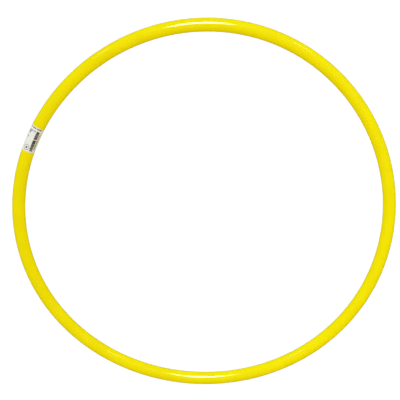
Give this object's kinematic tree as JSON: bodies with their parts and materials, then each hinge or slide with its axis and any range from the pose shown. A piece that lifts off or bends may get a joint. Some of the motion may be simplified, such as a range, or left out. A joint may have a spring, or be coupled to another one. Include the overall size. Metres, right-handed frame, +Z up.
{
  "type": "gymnastics hoop",
  "caption": "Round plastic gymnastics hoop: a glossy tube bent into a ring, its ends joined by an internal plug and staples under a wrapped paper label.",
  "frame": {"origin": "centre of the ring, midway across the tube", "axes": "+Z up, +Y along the hoop's axis towards its rear, +X to the right seen from the front"},
  "size_m": [0.6, 0.0248, 0.6],
  "materials": {
    "yellow_plastic": "gloss",
    "grey_plastic": "satin",
    "steel_wire": "polished",
    "label_paper": "satin"
  },
  "bodies": {
    "root": {"hoop_tube": "yellow_plastic", "joint_plug": "grey_plastic", "staple_upper": "steel_wire", "staple_lower": "steel_wire", "label": "label_paper"}
  },
  "joints": []
}
